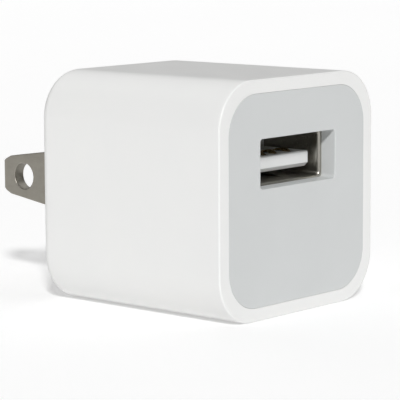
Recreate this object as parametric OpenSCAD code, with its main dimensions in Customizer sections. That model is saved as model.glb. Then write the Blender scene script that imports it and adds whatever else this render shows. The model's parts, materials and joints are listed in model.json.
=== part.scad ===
// A compact USB wall charger. A white cup-shaped housing holds a two-board power supply, a grey face plate
// closes the front around a USB-A socket, and two flat mains blades stand out of the back.
// The origin is the centre of the underside. The socket faces -Y, the blades point to +Y and +Z is up.
// All sizes are in millimetres.

/* [Housing] */
// Width of the body across the front
body_w = 27.5; // [27.5:0.1:30]
// Height of the body
body_h = 27; // [27:0.1:30]
// Depth of the body from the front rim to the wall face
body_d = 27.5; // [27.5:0.1:30]
// Radius of the four long corners
corner_r = 5.5; // [5:0.1:5.8]
// Radius of the edge round the wall face
back_edge_r = 1.3; // [0.6:0.1:2]
// Radius of the edge round the front rim
front_edge_r = 0.2; // [0.1:0.1:0.5]
// Thickness of the side walls
wall = 1.9; // [1.7:0.1:2]
// Thickness of the wall-side end
back_wall = 1.8; // [1.5:0.1:2]

/* [Face plate] */
// Width of the face plate
plate_w = 24.3; // [24:0.1:24.8]
// Height of the face plate
plate_h = 23.9; // [23.6:0.1:24.3]
// Corner radius of the face plate
plate_r = 4.6; // [4:0.1:5]
// Thickness of the face plate
plate_t = 2; // [1.8:0.1:2.2]
// Width of the socket opening
port_w = 13.45; // [13.2:0.05:13.6]
// Height of the socket opening
port_h = 5.6; // [5.4:0.05:5.8]
// Height of the socket's centre above the middle of the body
port_rise = 4.05; // [3.5:0.05:4.1]

/* [Mains blades] */
// Distance between the middles of the blades
blade_pitch = 12.7; // [12.5:0.1:12.9]
// Width of a blade
blade_w = 6.35; // [6.2:0.05:6.5]
// Thickness of a blade
blade_t = 1.5; // [1.4:0.05:1.6]
// Length of a blade beyond the wall face
blade_l = 13.2; // [12:0.1:18]
// Distance of the blade hole's centre from the wall face
blade_hole_y = 9.6; // [9:0.1:9.6]
// Diameter of the blade hole
blade_hole_d = 3.2; // [3:0.1:3.6]

/* [USB socket] */
// Inside width of the metal shell
shell_in_w = 12.5; // [12.4:0.05:12.6]
// Inside height of the metal shell
shell_in_h = 5.12; // [5.05:0.01:5.2]
// Thickness of the shell's sheet metal
shell_t = 0.3; // [0.25:0.01:0.32]
// Width of the tongue that carries the contacts
tongue_w = 11.1; // [11:0.1:11.2]
// Thickness of the tongue
tongue_t = 1.84; // [1.8:0.01:1.9]

/* [Hidden] */
$fn = 64;

// Reference planes of the housing
front_y = -body_d / 2;
back_y = body_d / 2;
seat_y = front_y + plate_t;
inner_y = back_y - back_wall;
mid_z = body_h / 2;
cavity_w = body_w - 2 * wall;
cavity_h = body_h - 2 * wall;
cavity_r = corner_r - wall;
plate_gap = 0.04;

// Socket: its centre, its outline and the planes along it
port_z = mid_z + port_rise;
shell_w = shell_in_w + 2 * shell_t;
shell_h = shell_in_h + 2 * shell_t;
shell_l = 10.2;
shell_r = 0.75;
mouth_l = 0.5;
mouth_flare = 0.3;
leg_l = 1.6;
leg_y = seat_y + 5.2;
tongue_drop = 0.64;
tongue_lead_below = 0.45;
tongue_lead_above = 0.15;
tongue_top = port_z - tongue_drop + tongue_t / 2;
tongue_y = seat_y + 1.1;
block_y = seat_y + 8.2;
block_end_y = seat_y + 10.1;

// Contacts: places across the tongue, strip sizes and the groove that each one lies in
contact_xs = [3.5, 1, -1, -3.5];
contact_w = 1;
contact_t = 0.2;
contact_root_y = block_y - 0.15;
contact_root_drop = 0.55;
groove_w = 1.2;
groove_depth = 1;
groove_y = tongue_y + 0.7;
tail_y = seat_y + 10.3;

// Shell springs: places, sizes and the window round each one
spring_x = 3.3;
spring_w = 2.2;
spring_t = 0.25;
spring_root_y = seat_y + 1.6;
spring_l = 4.2;
spring_gap = 0.2;

// Circuit boards
board1_w = 21.2;
board1_t = 1;
board1_z = wall + 1.3;
board1_top = board1_z + board1_t;
board2_w = 22.4;
board2_t = 0.8;
board2_z = port_z + shell_h / 2 + 0.15;
board2_top = board2_z + board2_t;
board_front_y = seat_y + 1;
pin_proud = 0.6;
pin_end_z = board1_z - 0.8;
lead_d = 0.5;
hole_d = 0.8;
wide_hole_d = 1.1;
slot_gap = 0.1;
board_end_y = inner_y - 0.5;

// Transformer
core_y = seat_y + 15.1;
core_z = (board1_top + board2_z) / 2;
core_w = 12.6;
core_h = 13.8;
core_d = 5;
core_back = 2.4;
core_leg = 1.9;
core_centre_leg = 3.4;
bobbin_w = 8.4;
bobbin_d = 7.8;
flange_t = 0.8;
flange_z = core_h / 2 - core_back - 0.05;
winding_w = 7.2;
winding_r = 1.4;
tube_w = core_centre_leg + 1.4;
tube_d = core_d + 1.4;

// Capacitors
bulk_d = 8;
bulk_l = 9.6;
bulk_x = 4.15;
bulk_z = board1_top + 0.1 + bulk_d / 2;
bulk_y = seat_y + 0.4;
bulk_lead_x = 1.75;
output_d = 4.9;
output_l = 8;
output_x = 9.25;
output_z = board2_z - 0.1 - output_d / 2;
output_lead_x = 1;
sheet_z = bulk_z + bulk_d / 2 + 0.05;

// Mains blades and what holds them inside
blade_taper_l = 7;
blade_chamfer_l = 1.3;
blade_taper_share = 0.74;
blade_tip_share = 0.54;
blade_bevel_l = 0.5;
blade_bevel_t = 0.2;
blade_z = mid_z - 0.2;
blade_x = blade_pitch / 2;
blade_gap = 0.03;
holder_y = inner_y - 2.6;
shoulder_y = inner_y - 1.5;
tang_w = 4;
tang_end_y = inner_y - 3.5;
strip_t = 0.4;
strip_w = 0.85;

// Parts on the lower board
resistor_x = -9.7;
resistor_y = [seat_y + 3.1, seat_y + 9.6];
inductor_x = 9.7;
inductor_y = [seat_y + 3.2, seat_y + 9.4];
axial_z = board1_top + 1.8;
axial_bend = 0.7;
axial_run = 0.3;
opto_x = 8.9;
opto_y = core_y - 1.1;
opto_pitch = 2.54;
y_cap_x = -9.2;
y_cap_z = 13;
y_cap_d = 6.4;
y_cap_lead_y = 1.15;
transistor_x = 8.7;
transistor_y = core_y + 2.9;
transistor_d = 4.6;
transistor_pitch = 1.27;
chip_pitch = 0.95;
bobbin_pin_xs = [-3, 0, 3];
bobbin_pin_y = 3.3;
secondary_lead_x = 2.2;
secondary_lead_y = core_y + 3.3;

// Leads bend down or up just behind each can
can_run = 0.2;
can_bend = 0.5;
bulk_pin_y = bulk_y + bulk_l + can_run + can_bend;
output_pin_y = board_front_y + output_l + can_run + can_bend;

// ---- Helpers ----

// A flat shape in X and Z, carried along Y from y0 to y1
module along_y(y0, y1) {
    translate([0, y1, 0]) rotate([90, 0, 0]) linear_extrude(y1 - y0) children();
}

// A flat shape in Y and Z, carried along X from x0 to x1
module along_x(x0, x1) {
    translate([x0, 0, 0]) rotate([90, 0, 90]) linear_extrude(x1 - x0) children();
}

// A flat shape in X and Y, carried along Z from z0 to z1
module along_z(z0, z1) {
    translate([0, 0, z0]) linear_extrude(z1 - z0) children();
}

// A box given by the middle of its base
module block(x, y, z, w, d, h) {
    translate([x - w / 2, y - d / 2, z]) cube([w, d, h]);
}

module rounded_rect(w, h, r) {
    square([w - 2 * r, h], center = true);
    square([w, h - 2 * r], center = true);
    for (sx = [-1, 1], sy = [-1, 1])
        translate([sx * (w / 2 - r), sy * (h / 2 - r)]) circle(r);
}

// Section through one rounded side of the body, from the corner's axis out to the surface
module side_section(r, depth, front_r, end_r) {
    translate([0, front_r]) square([r, depth - front_r - end_r]);
    square([r - front_r, front_r]);
    translate([0, depth - end_r]) square([r - end_r, end_r]);
    translate([r - front_r, front_r]) circle(front_r);
    translate([r - end_r, depth - end_r]) circle(end_r);
}

// Carries a section round a rounded rectangle: its X runs out from the corner's axis, its Y along the depth
module around(w, h, r) {
    for (k = [0:3]) {
        across = k % 2 == 0 ? w : h;
        side = k % 2 == 0 ? h : w;
        rotate(90 * k) translate([across / 2 - r, side / 2 - r, 0]) {
            rotate_extrude(angle = 90) children();
            rotate([90, 0, 0]) linear_extrude(side - 2 * r) children();
        }
    }
}

// A rounded block, its depth along Z, with rounded edges at both ends
module rounded_block(w, h, depth, r, front_r, end_r) {
    translate([r - w / 2, r - h / 2, 0]) cube([w - 2 * r, h - 2 * r, depth]);
    around(w, h, r) side_section(r, depth, front_r, end_r);
}

// A round lead that leaves a part along +Y for run, bends, and ends at drop below its start
module bent_lead(d, run, bend, drop) {
    rotate([-90, 0, 0]) cylinder(d = d, h = run);
    translate([0, run, -bend]) rotate([90, 0, 90]) rotate_extrude(angle = 90)
        translate([bend, 0]) circle(d / 2);
    translate([0, run + bend, -drop]) cylinder(d = d, h = drop - bend);
}

// A flat strip in Y and Z through a list of points, with a constant height of its section
module strip_profile(points, t) {
    polygon(concat(
        [for (p = points) [p[0], p[1] + t / 2]],
        [for (i = [len(points) - 1:-1:0]) [points[i][0], points[i][1] - t / 2]]
    ));
}

// ---- Housing and face plate ----

module blade_slots(gap) {
    for (side = [-1, 1])
        block(side * blade_x, back_y, blade_z - blade_w / 2 - gap,
              blade_t + 2 * gap, 2 * body_d, blade_w + 2 * gap);
}

// Ribs that carry the two boards: rests under the lower board, grooves for the upper one
module board_ribs() {
    rib = 0.8;
    gap = 0.05;
    rest_x = 7.6;
    guide_x = cavity_w / 2 - 0.3;
    guide_w = 1.4;
    guide_y = core_y - 3.9;
    for (side = [-1, 1]) {
        block(side * rest_x, (board_front_y + inner_y) / 2, wall - 0.2,
              rib, inner_y - board_front_y, board1_z - gap - wall + 0.2);
        block(side * guide_x, (board_front_y + inner_y) / 2, board2_top + gap,
              guide_w, inner_y - board_front_y, rib);
        block(side * guide_x, (guide_y + inner_y) / 2, board2_z - gap - rib,
              guide_w, inner_y - guide_y, rib);
    }
}

module housing() {
    color("white") {
        difference() {
            translate([0, front_y, mid_z]) rotate([-90, 0, 0])
                rounded_block(body_w, body_h, body_d, corner_r, front_edge_r, back_edge_r);
            along_y(front_y - 1, inner_y)
                translate([0, mid_z]) rounded_rect(cavity_w, cavity_h, cavity_r);
            along_y(front_y - 1, seat_y)
                translate([0, mid_z])
                rounded_rect(plate_w + 2 * plate_gap, plate_h + 2 * plate_gap, plate_r + plate_gap);
            intersection() {
                blade_slots(blade_gap);
                block(0, back_y, 0, body_w, 2 * back_wall + 1, body_h);
            }
        }
        board_ribs();
    }
}

// The plate has a lip behind it that slides into the housing and holds it square
module face_plate() {
    lip_gap = 0.05;
    lip_t = 0.9;
    lip_l = 0.8;
    port_r = 0.4;
    color([0.81, 0.82, 0.82]) difference() {
        union() {
            along_y(front_y, seat_y) translate([0, mid_z]) rounded_rect(plate_w, plate_h, plate_r);
            along_y(seat_y, seat_y + lip_l) translate([0, mid_z])
                rounded_rect(cavity_w - 2 * lip_gap, cavity_h - 2 * lip_gap, cavity_r - lip_gap);
        }
        along_y(seat_y, seat_y + lip_l + 1) translate([0, mid_z])
            rounded_rect(cavity_w - 2 * lip_t, cavity_h - 2 * lip_t, cavity_r - lip_t);
        along_y(front_y - 1, seat_y + 1) translate([0, port_z]) rounded_rect(port_w, port_h, port_r);
    }
}

// ---- Mains blades ----

// Side view of a blade: a narrow tang, a shoulder, straight sides, a taper and a chamfered tip
module blade_outline() {
    tip_y = back_y + blade_l;
    half = blade_w / 2;
    upper = [
        [tang_end_y, tang_w / 2], [shoulder_y, tang_w / 2], [shoulder_y, half],
        [tip_y - blade_taper_l, half], [tip_y - blade_chamfer_l, blade_taper_share * half],
        [tip_y, blade_tip_share * half]
    ];
    translate([0, blade_z]) polygon(concat(
        upper, [for (i = [len(upper) - 1:-1:0]) [upper[i][0], -upper[i][1]]]
    ));
}

// Plan view of a blade, with both faces bevelled at the tip
module blade_plan() {
    tip_y = back_y + blade_l;
    tip_x = blade_t / 2 - blade_bevel_t;
    polygon([
        [-blade_t / 2, tang_end_y], [blade_t / 2, tang_end_y], [blade_t / 2, tip_y - blade_bevel_l],
        [tip_x, tip_y], [-tip_x, tip_y], [-blade_t / 2, tip_y - blade_bevel_l]
    ]);
}

module blade(side) {
    color([0.62, 0.6, 0.56]) difference() {
        intersection() {
            along_x(side * blade_x - blade_t, side * blade_x + blade_t) blade_outline();
            translate([side * blade_x, 0, 0]) along_z(0, body_h) blade_plan();
        }
        translate([side * blade_x - blade_t, back_y + blade_hole_y, blade_z]) rotate([0, 90, 0])
            cylinder(d = blade_hole_d, h = 2 * blade_t);
    }
}

module left_blade() {
    blade(-1);
}

module right_blade() {
    blade(1);
}

// Insulating block that locks the blades by their shoulders behind the wall face
module blade_holder() {
    holder_w = 19.2;
    holder_h = 10.4;
    holder_r = 1.2;
    color([0.2, 0.2, 0.22]) difference() {
        along_y(holder_y, inner_y) translate([0, blade_z]) rounded_rect(holder_w, holder_h, holder_r);
        for (side = [-1, 1]) {
            block(side * blade_x, inner_y, blade_z - blade_w / 2 - blade_gap,
                  blade_t + 2 * blade_gap, 2 * (inner_y - shoulder_y), blade_w + 2 * blade_gap);
            block(side * blade_x, inner_y, blade_z - tang_w / 2 - blade_gap,
                  blade_t + 2 * blade_gap, 3 * (inner_y - holder_y), tang_w + 2 * blade_gap);
        }
    }
}

// Brass strip from the tang down through the lower board, hooked over the tang
module blade_contact(side) {
    x = side * (blade_x - blade_t / 2 - strip_t / 2);
    top_z = blade_z + tang_w / 2;
    color([0.8, 0.66, 0.35]) {
        block(x, tang_end_y + strip_w / 2, pin_end_z, strip_t, strip_w, top_z + strip_t - pin_end_z);
        block(side * (blade_x - strip_t / 2), tang_end_y + strip_w / 2, top_z,
              blade_t + strip_t, strip_w, strip_t);
    }
}

module left_blade_contact() {
    blade_contact(-1);
}

module right_blade_contact() {
    blade_contact(1);
}

// ---- Lower board and the mains side ----

// Middles of the round holes in the lower board
function board1_holes() = concat(
    [for (x = bobbin_pin_xs, s = [-1, 1]) [x, core_y + s * bobbin_pin_y]],
    [for (s = [-1, 1], t = [-1, 1]) [s * bulk_x + t * bulk_lead_x, bulk_pin_y]],
    [for (y = axial_ends(resistor_y)) [resistor_x, y]],
    [for (y = axial_ends(inductor_y)) [inductor_x, y]],
    [for (s = [-1, 1]) [opto_x, opto_y + s * opto_pitch / 2]],
    [for (i = [-1:1]) [transistor_x, transistor_y + i * transistor_pitch]],
    [[y_cap_x, core_y + y_cap_lead_y]]
);

// Places along Y where the two leads of an axial part go down into the board
function axial_ends(ends) = [ends[0] - axial_run - axial_bend, ends[1] + axial_run + axial_bend];

module primary_board() {
    color([0.16, 0.42, 0.22]) difference() {
        block(0, (board_front_y + board_end_y) / 2, board1_z,
              board1_w, board_end_y - board_front_y, board1_t);
        for (p = board1_holes())
            translate([p[0], p[1], board1_z - 1]) cylinder(d = hole_d, h = board1_t + 2);
        for (side = [-1, 1])
            block(side * (blade_x - blade_t / 2 - strip_t / 2), tang_end_y + strip_w / 2, board1_z - 1,
                  strip_t + 2 * slot_gap, strip_w + 2 * slot_gap, board1_t + 2);
    }
}

// A body along Y with a lead at each end that bends down into the board
module axial_part(x, ends, d, waist) {
    cap_l = 1.6;
    for (k = [0, 1])
        translate([x, ends[k], axial_z]) rotate(k == 0 ? 180 : 0)
            bent_lead(lead_d, axial_run, axial_bend, axial_z - pin_end_z);
    translate([x, ends[0], axial_z]) rotate([-90, 0, 0]) cylinder(d = waist, h = ends[1] - ends[0]);
    for (y = [ends[0], ends[1] - cap_l])
        translate([x, y, axial_z]) rotate([-90, 0, 0]) cylinder(d = d, h = cap_l);
}

module fusible_resistor() {
    color([0.35, 0.55, 0.75]) axial_part(resistor_x, resistor_y, 2.8, 2.4);
}

module filter_inductor() {
    color([0.25, 0.5, 0.3]) axial_part(inductor_x, inductor_y, 2.9, 2.5);
}

// A flat moulded part with leads at both ends along Y
module end_lead_part(x, y, z, w, d, h, lead_w, lead_xs) {
    lead_h = 0.25;
    lead_out = 0.7;
    standoff = 0.1;
    block(x, y, z + standoff, w, d, h);
    for (lx = lead_xs, s = [-1, 1])
        block(x + lx, y + s * (d + lead_out) / 2, z, lead_w, lead_out, lead_h);
}

module bridge_rectifier() {
    color([0.12, 0.12, 0.13])
        end_lead_part(-8.6, core_y + 4.2, board1_top, 3.4, 3.6, 1.7, 0.7, [-1.1, 1.1]);
}

module snubber_diode() {
    color([0.13, 0.13, 0.14])
        end_lead_part(-8.8, core_y - 1.75, board1_top, 2.6, 3.4, 2.1, 1.5, [0]);
}

// A lying can with a crimped groove near its leads
module lying_can(x, y, z, d, l, lead_x, drop) {
    crimp_start = l - 1.6;
    crimp_l = 0.9;
    crimp_depth = 0.25;
    translate([x, y, z]) rotate([-90, 0, 0]) {
        cylinder(d = d, h = crimp_start);
        translate([0, 0, crimp_start]) cylinder(d = d - 2 * crimp_depth, h = crimp_l);
        translate([0, 0, crimp_start + crimp_l]) cylinder(d = d, h = l - crimp_start - crimp_l);
    }
    for (s = [-1, 1])
        translate([x + s * lead_x, y + l, z]) rotate([0, drop < 0 ? 180 : 0, 0])
            bent_lead(lead_d, can_run, can_bend, abs(drop));
}

module bulk_capacitor(side) {
    color([0.15, 0.18, 0.3])
        lying_can(side * bulk_x, bulk_y, bulk_z, bulk_d, bulk_l, bulk_lead_x, bulk_z - pin_end_z);
}

module bulk_capacitor_left() {
    bulk_capacitor(-1);
}

module bulk_capacitor_right() {
    bulk_capacitor(1);
}

// A standing three-lead transistor with one flat side
module switching_transistor() {
    base_z = board1_top + 1.2;
    case_h = 4.5;
    flat_cut = 0.7;
    leg = [0.4, 0.45];
    color([0.1, 0.1, 0.11]) {
        intersection() {
            translate([transistor_x, transistor_y, base_z]) cylinder(d = transistor_d, h = case_h);
            block(transistor_x + flat_cut, transistor_y, base_z, transistor_d, transistor_d, case_h);
        }
        for (i = [-1:1])
            block(transistor_x, transistor_y + i * transistor_pitch, pin_end_z,
                  leg[0], leg[1], base_z - pin_end_z);
    }
}

// A six-lead chip on the underside of the lower board
module controller_chip() {
    body = [1.6, 2.9, 0.9];
    leg = [0.6, 0.4, 0.55];
    color([0.1, 0.1, 0.11]) {
        block(0, core_y, board1_z - 0.1 - body[2], body[0], body[1], body[2]);
        for (i = [-1:1], s = [-1, 1])
            block(s * (body[0] + leg[0]) / 2, core_y + i * chip_pitch, board1_z - leg[2],
                  leg[0], leg[1], leg[2]);
    }
}

// Stands between the boards: two leads down to the mains side, two up to the output side
module optocoupler() {
    body_z = 11;
    body = [3.4, 4.6, 5];
    leg = 0.45;
    color([0.9, 0.9, 0.88]) {
        block(opto_x, opto_y, body_z, body[0], body[1], body[2]);
        for (s = [-1, 1]) {
            block(opto_x, opto_y + s * opto_pitch / 2, pin_end_z, leg, leg, body_z - pin_end_z);
            block(opto_x, opto_y + s * opto_pitch / 2, body_z + body[2],
                  leg, leg, board2_top + pin_proud - body_z - body[2]);
        }
    }
}

// A standing disc with one lead down and one lead up, across the isolation gap
module y_capacitor() {
    thick = 2.8;
    lead_start = 1.5;
    color([0.2, 0.4, 0.7]) {
        translate([y_cap_x - thick / 2, core_y, y_cap_z]) rotate([0, 90, 0])
            cylinder(d = y_cap_d, h = thick);
        block(y_cap_x, core_y + y_cap_lead_y, pin_end_z,
              lead_d, lead_d, y_cap_z - lead_start - pin_end_z);
        block(y_cap_x, core_y - y_cap_lead_y, y_cap_z + lead_start,
              lead_d, lead_d, board2_top + pin_proud - y_cap_z - lead_start);
    }
}

// ---- Transformer ----

// One E-shaped core half, its legs pointing up to the middle plane
module core_half(up) {
    half = core_h / 2;
    centre_gap = 0.1;
    translate([0, core_y, core_z]) mirror([0, 0, up ? 1 : 0]) {
        block(0, 0, -half, core_w, core_d, core_back);
        for (side = [-1, 1])
            block(side * (core_w - core_leg) / 2, 0, -half, core_leg, core_d, half);
        block(0, 0, -half, core_centre_leg, core_d, half - centre_gap);
    }
}

module transformer_core_lower() {
    color([0.25, 0.25, 0.26]) core_half(false);
}

module transformer_core_upper() {
    color([0.25, 0.25, 0.26]) core_half(true);
}

module transformer_bobbin() {
    foot_z = board1_top + 0.1;
    foot_d = 1.2;
    core_gap = 0.1;
    color([0.2, 0.2, 0.2]) translate([0, core_y, 0]) {
        difference() {
            union() {
                block(0, 0, core_z - flange_z, tube_w, tube_d, 2 * flange_z);
                for (z = [core_z - flange_z, core_z + flange_z - flange_t])
                    block(0, 0, z, bobbin_w, bobbin_d, flange_t);
                for (s = [-1, 1])
                    block(0, s * (bobbin_d - foot_d) / 2, foot_z,
                          bobbin_w, foot_d, core_z - flange_z + 0.2 - foot_z);
            }
            block(0, 0, 0, core_centre_leg + 2 * core_gap, core_d + 2 * core_gap, body_h);
        }
    }
}

module transformer_winding() {
    color([0.72, 0.4, 0.2]) translate([0, core_y, 0])
        along_z(core_z - flange_z + flange_t, core_z + flange_z - flange_t) difference() {
            rounded_rect(winding_w, winding_w, winding_r);
            square([tube_w, tube_d], center = true);
        }
}

module transformer_tape() {
    tape = 0.15;
    color([0.95, 0.8, 0.2]) translate([0, core_y, 0])
        along_z(core_z - flange_z + flange_t + 0.1, core_z + flange_z - flange_t - 0.1) difference() {
            rounded_rect(winding_w + 2 * tape, winding_w + 2 * tape, winding_r + tape);
            rounded_rect(winding_w, winding_w, winding_r);
        }
}

module transformer_pins() {
    pin_d = 0.6;
    color([0.75, 0.75, 0.72])
        for (x = bobbin_pin_xs, s = [-1, 1])
            translate([x, core_y + s * bobbin_pin_y, pin_end_z])
                cylinder(d = pin_d, h = board1_top + 0.1 - pin_end_z);
}

// Insulated wires from the transformer up to the output board
module secondary_leads() {
    insulation_d = 0.9;
    color([0.85, 0.15, 0.15])
        for (s = [-1, 1])
            translate([s * secondary_lead_x, secondary_lead_y, core_z + flange_z])
                cylinder(d = insulation_d, h = board2_top + pin_proud - core_z - flange_z);
}

// Bent plastic sheet that keeps the output side away from the mains side
module insulation_sheet() {
    t = 0.2;
    sheet_w = 22.2;
    bend_y = seat_y + 10.95;
    color([0.9, 0.88, 0.75, 0.8]) {
        block(0, (board_front_y + bend_y) / 2, sheet_z, sheet_w, bend_y - board_front_y, t);
        block(0, bend_y - t / 2, sheet_z, sheet_w, t, board2_z - 0.1 - sheet_z);
    }
}

// ---- Upper board and the output side ----

function board2_holes() = concat(
    [for (s = [-1, 1]) [s * secondary_lead_x, secondary_lead_y]],
    [for (s = [-1, 1], t = [-1, 1]) [s * output_x + t * output_lead_x, output_pin_y]],
    [for (s = [-1, 1]) [opto_x, opto_y + s * opto_pitch / 2]],
    [[y_cap_x, core_y - y_cap_lead_y]]
);

module secondary_board() {
    color([0.16, 0.42, 0.22]) difference() {
        block(0, (board_front_y + board_end_y) / 2, board2_z,
              board2_w, board_end_y - board_front_y, board2_t);
        for (p = board2_holes())
            translate([p[0], p[1], board2_z - 1]) cylinder(d = wide_hole_d, h = board2_t + 2);
        for (side = [-1, 1])
            block(side * (shell_w - shell_t) / 2, leg_y, board2_z - 1,
                  shell_t + 2 * slot_gap, leg_l + 2 * slot_gap, board2_t + 2);
        for (x = contact_xs)
            block(x, tail_y + contact_t / 2, board2_z - 1,
                  contact_w + slot_gap, contact_t + 2 * slot_gap, board2_t + 2);
    }
}

module output_capacitor(side) {
    color([0.75, 0.76, 0.78])
        lying_can(side * output_x, board_front_y, output_z, output_d, output_l,
                  output_lead_x, output_z - board2_top - pin_proud);
}

module output_capacitor_left() {
    output_capacitor(-1);
}

module output_capacitor_right() {
    output_capacitor(1);
}

module output_diode() {
    color([0.11, 0.11, 0.12])
        end_lead_part(-5.2, core_y + 0.8, board2_top, 4.6, 5.2, 2, 3, [0]);
}

// A three-lead chip: two leads on one side and one on the other
module feedback_chip() {
    x = 4;
    y = core_y + 0.5;
    body = [1.4, 2.9, 1];
    leg = [0.8, 0.4, 0.5];
    color([0.11, 0.11, 0.12]) {
        block(x, y, board2_top + 0.1, body[0], body[1], body[2]);
        for (p = [[-1, -1], [-1, 1], [1, 0]])
            block(x + p[0] * (body[0] + leg[0]) / 2, y + p[1] * chip_pitch, board2_top,
                  leg[0], leg[1], leg[2]);
    }
}

// Chip resistors that tell the phone how much current it may draw, in two rows
module board_resistors() {
    chip = [0.8, 1.6, 0.5];
    first = [-0.6, seat_y + 4];
    pitch = [1.8, 2.6];
    color([0.2, 0.2, 0.22])
        for (row = [0, 1], i = [0:3])
            block(first[0] + pitch[0] * i, first[1] + pitch[1] * row, board2_top,
                  chip[0], chip[1], chip[2]);
}

// ---- USB socket ----

// Section through one wall of the shell, which flares out at its mouth
module shell_section() {
    inner_r = shell_r - shell_t;
    polygon([
        [inner_r, shell_l], [inner_r, mouth_l], [inner_r + mouth_flare, 0],
        [shell_r + mouth_flare, 0], [shell_r, mouth_l], [shell_r, shell_l]
    ]);
}

module usb_shell() {
    window_l = spring_l + 2 * spring_gap;
    color([0.7, 0.68, 0.64]) {
        difference() {
            translate([0, seat_y, port_z]) rotate([-90, 0, 0])
                around(shell_w, shell_h, shell_r) shell_section();
            for (side = [-1, 1])
                block(side * spring_x, spring_root_y - spring_gap + window_l / 2, port_z - shell_h,
                      spring_w + 2 * spring_gap, window_l, 2 * shell_h);
        }
        for (side = [-1, 1])
            block(side * (shell_w - shell_t) / 2, leg_y, port_z,
                  shell_t, leg_l, board2_top + pin_proud - port_z);
    }
}

// Side view of the tongue, with its front edges chamfered to lead the plug on
module tongue_section() {
    low = tongue_top - tongue_t;
    polygon([
        [block_y, low], [tongue_y + tongue_lead_below, low], [tongue_y, low + tongue_lead_below],
        [tongue_y, tongue_top - tongue_lead_above], [tongue_y + tongue_lead_above, tongue_top],
        [block_y, tongue_top]
    ]);
}

// Plastic tongue with four grooves, and the block behind it that the tails pass through
module usb_insulator() {
    tail_gap = 0.05;
    shell_gap = 0.03;
    color([0.93, 0.93, 0.91]) difference() {
        union() {
            along_x(-tongue_w / 2, tongue_w / 2) tongue_section();
            along_y(block_y, block_end_y) translate([0, port_z])
                rounded_rect(shell_in_w - 2 * shell_gap, shell_in_h - 2 * shell_gap, shell_r - shell_t);
        }
        for (x = contact_xs) {
            block(x, (groove_y + block_y) / 2, tongue_top - groove_depth,
                  groove_w, block_y - groove_y, 2 * groove_depth);
            block(x, block_y + 1, tongue_top - contact_root_drop - contact_t / 2 - tail_gap,
                  contact_w + 2 * tail_gap, 3, contact_t + 2 * tail_gap);
        }
    }
}

// Fixed ends of the contacts: through the block, then up into the board
module usb_contact_tails() {
    color([0.85, 0.7, 0.35])
        for (x = contact_xs) {
            block(x, (block_y + 0.05 + tail_y) / 2, tongue_top - contact_root_drop - contact_t / 2,
                  contact_w, tail_y - block_y - 0.05, contact_t);
            block(x, tail_y + contact_t / 2, tongue_top - contact_root_drop - contact_t / 2,
                  contact_w, contact_t, board2_top + pin_proud - tongue_top + contact_root_drop);
        }
}

// Sprung part of one contact, from its root forwards and up to the rounded bump that the plug presses
module usb_contact(i) {
    points = [[0, 0], [-3.6, 0.43], [-4.5, 0.77], [-5.1, 0.77], [-6, 0.2]];
    color([0.85, 0.7, 0.35])
        along_x(contact_xs[i] - contact_w / 2, contact_xs[i] + contact_w / 2)
        translate([contact_root_y, tongue_top - contact_root_drop]) strip_profile(points, contact_t);
}

module usb_contact_power() {
    usb_contact(0);
}

module usb_contact_data_minus() {
    usb_contact(1);
}

module usb_contact_data_plus() {
    usb_contact(2);
}

module usb_contact_ground() {
    usb_contact(3);
}

// A leaf in the shell wall that grips the plug: it slopes inwards from its root and curls at its tip
module shell_spring(side, face) {
    points = [[0, 0], [3.4, -0.47], [spring_l, -0.39]];
    color([0.7, 0.68, 0.64])
        translate([side * spring_x, spring_root_y, port_z + face * (shell_h - shell_t) / 2])
        mirror([0, 0, face > 0 ? 0 : 1])
        along_x(-spring_w / 2, spring_w / 2) strip_profile(points, spring_t);
}

module shell_spring_upper_left() {
    shell_spring(-1, 1);
}

module shell_spring_upper_right() {
    shell_spring(1, 1);
}

module shell_spring_lower_left() {
    shell_spring(-1, -1);
}

module shell_spring_lower_right() {
    shell_spring(1, -1);
}

housing();
face_plate();
left_blade();
right_blade();
blade_holder();
left_blade_contact();
right_blade_contact();
primary_board();
fusible_resistor();
filter_inductor();
bridge_rectifier();
snubber_diode();
bulk_capacitor_left();
bulk_capacitor_right();
switching_transistor();
controller_chip();
optocoupler();
y_capacitor();
transformer_core_lower();
transformer_core_upper();
transformer_bobbin();
transformer_winding();
transformer_tape();
transformer_pins();
secondary_leads();
insulation_sheet();
secondary_board();
output_capacitor_left();
output_capacitor_right();
output_diode();
feedback_chip();
board_resistors();
usb_shell();
usb_insulator();
usb_contact_tails();
usb_contact_power();
usb_contact_data_minus();
usb_contact_data_plus();
usb_contact_ground();
shell_spring_upper_left();
shell_spring_upper_right();
shell_spring_lower_left();
shell_spring_lower_right();
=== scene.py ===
"""The looks of a compact USB wall charger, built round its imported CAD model.

The frame gives every place and outer size, in metres: -Y is the socket side, +Y the wall side, +Z is up.
"""
import json
import math

import bmesh
import bpy
from mathutils import Matrix, Vector


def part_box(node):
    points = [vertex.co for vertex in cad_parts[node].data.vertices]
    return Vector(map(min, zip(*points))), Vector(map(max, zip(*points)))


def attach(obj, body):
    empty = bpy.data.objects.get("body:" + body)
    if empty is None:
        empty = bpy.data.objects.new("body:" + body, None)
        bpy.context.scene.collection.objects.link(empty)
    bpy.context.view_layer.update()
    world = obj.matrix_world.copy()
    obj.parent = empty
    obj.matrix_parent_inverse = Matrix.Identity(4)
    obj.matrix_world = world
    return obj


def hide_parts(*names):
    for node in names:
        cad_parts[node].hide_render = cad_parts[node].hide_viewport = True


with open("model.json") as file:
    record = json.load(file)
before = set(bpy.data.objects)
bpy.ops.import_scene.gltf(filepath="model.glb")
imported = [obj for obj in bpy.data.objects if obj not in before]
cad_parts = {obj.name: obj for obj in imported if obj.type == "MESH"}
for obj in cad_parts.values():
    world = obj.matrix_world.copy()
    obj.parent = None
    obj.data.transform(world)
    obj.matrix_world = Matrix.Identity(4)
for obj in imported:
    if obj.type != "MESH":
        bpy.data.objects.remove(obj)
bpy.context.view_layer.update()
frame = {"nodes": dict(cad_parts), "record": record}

MM = 0.001
RECORD = frame["record"]
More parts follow.
